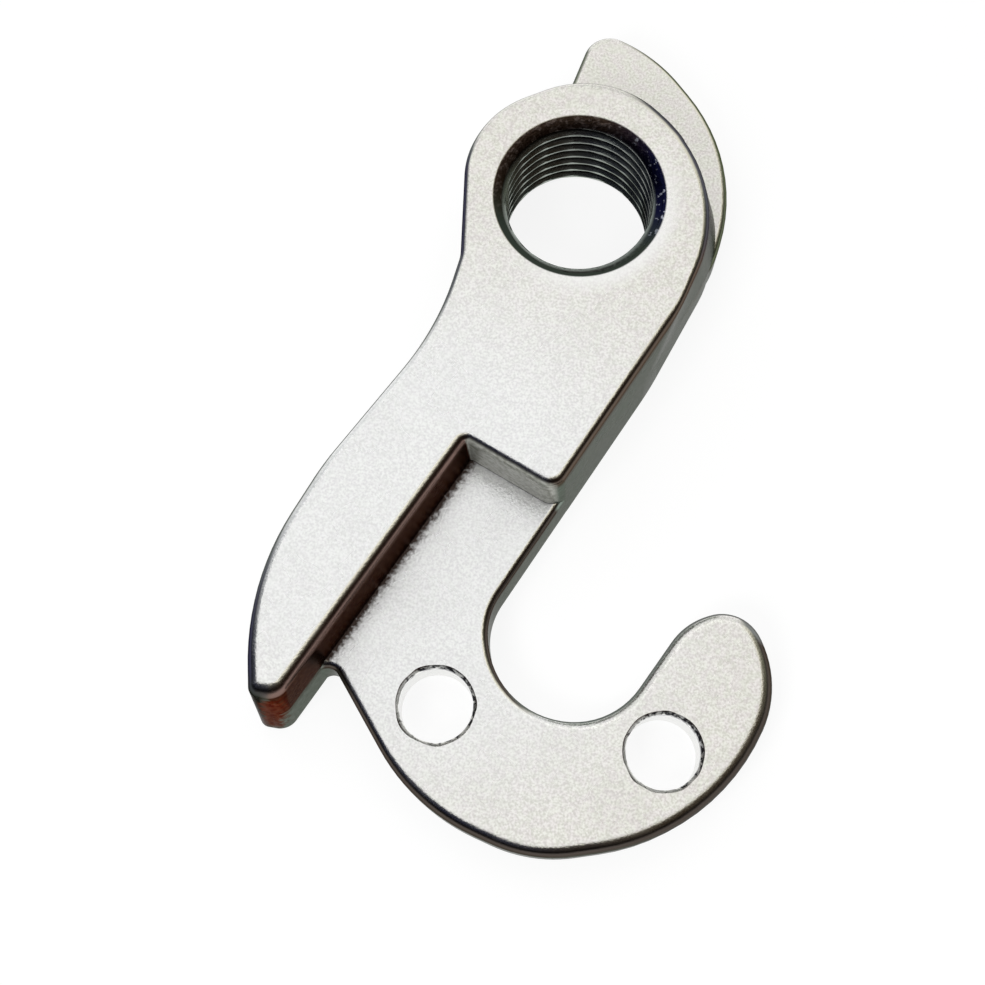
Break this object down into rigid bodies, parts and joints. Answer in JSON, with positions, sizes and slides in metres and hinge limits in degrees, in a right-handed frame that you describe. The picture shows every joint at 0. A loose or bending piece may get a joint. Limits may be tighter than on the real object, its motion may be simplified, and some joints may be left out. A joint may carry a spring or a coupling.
{
  "type": "derailleur hanger",
  "caption": "Flat aluminium rear derailleur hanger with a threaded boss, a stop tab, a thick fin and a thinner slotted seat with bolt holes.",
  "frame": {"origin": "on the axis of the derailleur thread, in the hanger's back face", "axes": "+Z along the thread, out of the front face; +X along the line of the two bolt holes; +Y from that line towards the thread"},
  "size_m": [0.0308, 0.0521, 0.0078],
  "materials": {
    "aluminium": "satin"
  },
  "bodies": {
    "root": {"hanger": "aluminium"}
  },
  "joints": []
}
